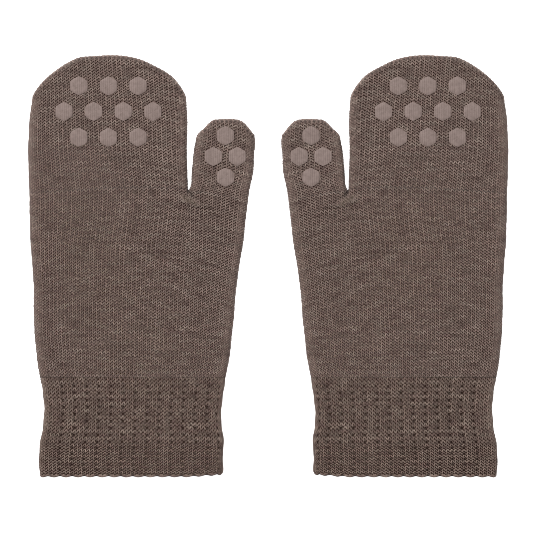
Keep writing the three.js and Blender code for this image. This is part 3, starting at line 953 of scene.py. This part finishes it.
def pad_tree():
    """Sets one pad on every point and lets it follow the knit below in soft waves."""
    tree, entry = new_tree(
        "Pads", "Pads",
        Places="Geometry", Pad="Object", Waves="Float", Print="Material", Knit_Below="Collection",
    )
    pad = node(tree, "GeometryNodeObjectInfo", (entry.outputs[1],), output="Geometry")
    points = node(tree, "GeometryNodeMeshToPoints", (entry.outputs[0],))
    set_out = node(tree, "GeometryNodeInstanceOnPoints", {0: points, "Instance": pad})
    real = node(tree, "GeometryNodeRealizeInstances", (set_out,))
    place = node(tree, "GeometryNodeInputPosition")
    chance = {"Vector": place, "Scale": WAVES_PER_MM / MM, "Detail": 1.0}
    chance = node(tree, "ShaderNodeTexNoise", chance, output="Color")
    shift = node(tree, VECTORS, (chance, (0.5, 0.5, 0.5)), operation="SUBTRACT")
    shift = node(tree, VECTORS, {0: shift, "Scale": entry.outputs[2]}, operation="SCALE")
    # The print lies on the knit: each point rises or falls with the yarn under it, a little evened out
    floor_place = node(tree, VECTORS, (place, (1.0, 1.0, 0.0)), operation="MULTIPLY")
    fall = fall_to_knit(tree, entry.outputs[4], floor_place)
    rise = node(tree, MATH, (RAY_START * MM - LAID * MM, fall), operation="SUBTRACT")
    rise = node(tree, "GeometryNodeBlurAttribute", {"Value": rise, "Iterations": 4}, data_type="FLOAT")
    lift = node(tree, "ShaderNodeCombineXYZ", {2: rise})
    shift = node(tree, VECTORS, (shift, lift), operation="ADD")
    moved = node(tree, "GeometryNodeSetPosition", {0: real, "Offset": shift})
    dressed = node(tree, "GeometryNodeSetMaterial", {0: moved, "Material": entry.outputs[3]})
    node(tree, "NodeGroupOutput", (dressed,))
    return tree


def silicone_print(name):
    """Satin silicone in taupe, uneven where the knit below shows in faint upright streaks."""
    material, tree = blank_material(name)
    place = node(tree, "ShaderNodeTexCoord", output="Object")
    x = node(tree, "ShaderNodeSeparateXYZ", (place,))
    streak = wave(tree, x, 1 / (STREAK * MM))
    cloud = {"Vector": place, "Scale": CLOUDS_PER_MM / MM, "Detail": 3.0}
    cloud = node(tree, "ShaderNodeTexNoise", cloud)
    amount = node(tree, MATH, (streak, 0.14, cloud), operation="MULTIPLY_ADD")
    shader = node(tree, "ShaderNodeBsdfPrincipled", {
        "Base Color": node(
            tree, "ShaderNodeValToRGB", (amount,), stops=((0.25, "#7d6c66"), (0.75, "#917f79"))
        ),
        "Roughness": 0.6,
        "Specular IOR Level": 0.3,
    })
    node(tree, "ShaderNodeOutputMaterial", (shader,))
    return material


grip_print = silicone_print("Taupe silicone print")
pads = pad_tree()
for hand, side in SIDES.items():
    spots = []
    names = []
    for group, layout in (("finger", FINGER_PADS), ("thumb", THUMB_PADS)):
        for row, (y, count) in enumerate(layout["rows"], 1):
            for k in range(count):
                x = layout["x"] + (k - (count - 1) / 2) * layout["pitch"]
                spots.append((side * (HAND_LINE_X - x) * MM, (y - LENGTH / 2) * MM, LAID * MM))
                names.append(f"{hand}_{group}_grip_{row}_{k + 1}")
    mesh = bpy.data.meshes.new("spots")
    mesh.from_pydata(spots, [], [])
    single = bpy.data.objects.new("single_pad", pad_mesh(grip_print))
    bpy.context.scene.collection.objects.link(single)
    below = gather_knit(hand, "fingers", "thumb")
    piece = grown(
        f"{hand}_grip_pads", mesh, pads,
        Pad=single, Waves=PAD_WAVES * MM, Print=grip_print, Knit_Below=below,
    )
    bpy.data.objects.remove(single)
    bpy.data.collections.remove(below)
    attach(piece, "root")
    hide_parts(*names)

# Floor, light and camera
# A sheet of white acrylic, one wide soft light from above and a smaller one from the upper left,
# and a camera straight above the pair, far off so that both mittens are seen square on.

FLOOR_SIZE = 6.0
FLOOR_GLOW = 0.7
SKY_LIGHT = 0.45
floor_mesh = bpy.data.meshes.new("floor")
half = FLOOR_SIZE / 2
corners = [(-half, -half, 0), (half, -half, 0), (half, half, 0), (-half, half, 0)]
floor_mesh.from_pydata(corners, [], [(0, 1, 2, 3)])
floor = bpy.data.objects.new("floor", floor_mesh)
bpy.context.scene.collection.objects.link(floor)

# Opal acrylic, cast and lit from below: a matt white ground that almost swallows the shadows
acrylic = bpy.data.materials.new("White acrylic, lit from below")
acrylic.use_nodes = True
surface = acrylic.node_tree.nodes["Principled BSDF"]
surface.inputs["Base Color"].default_value = from_hex("#f4f4f4")
surface.inputs["Roughness"].default_value = 0.9
surface.inputs["Emission Color"].default_value = (1, 1, 1, 1)
surface.inputs["Emission Strength"].default_value = FLOOR_GLOW
floor_mesh.materials.append(acrylic)

world = bpy.data.worlds.new("Studio")
bpy.context.scene.world = world
world.use_nodes = True
world.node_tree.nodes["Background"].inputs["Color"].default_value = (1, 1, 1, 1)
world.node_tree.nodes["Background"].inputs["Strength"].default_value = SKY_LIGHT

for name, place, size, power in (
    ("overhead", (0.0, 0.3, 1.5), 1.0, 9.0),
    ("upper_left", (-1.0, 1.0, 0.8), 0.5, 14.0),
):
    lamp = bpy.data.lights.new(name, "AREA")
    lamp.size = size
    lamp.energy = power
    holder = bpy.data.objects.new(name, lamp)
    holder.location = place
    direction = -holder.location.normalized()
    holder.rotation_euler = direction.to_track_quat("-Z", "Y").to_euler()
    bpy.context.scene.collection.objects.link(holder)

bpy.context.scene.view_settings.view_transform = "Standard"
# A narrow pixel filter keeps single stitches as crisp as they are in the photo
bpy.context.scene.cycles.filter_width = 0.8

MM_PER_PIXEL = 0.385
PHOTO_PIXELS = 533
PAIR_MIDDLE_PIXEL = 267.7
HEM_PIXEL = 477.0
SENSOR = 36.0
LENS = 200.0
frame_width = PHOTO_PIXELS * MM_PER_PIXEL
centre_pixel = (PHOTO_PIXELS - 1) / 2
camera_data = bpy.data.cameras.new("camera")
camera_data.sensor_width = SENSOR
camera_data.lens = LENS
camera_data.clip_end = 20
camera = bpy.data.objects.new("camera", camera_data)
camera.location = (
    (centre_pixel - PAIR_MIDDLE_PIXEL) * MM_PER_PIXEL * MM,
    ((HEM_PIXEL - centre_pixel) * MM_PER_PIXEL - LENGTH / 2) * MM,
    (LENS / SENSOR * frame_width + LAID) * MM,
)
bpy.context.scene.collection.objects.link(camera)
bpy.context.scene.camera = camera
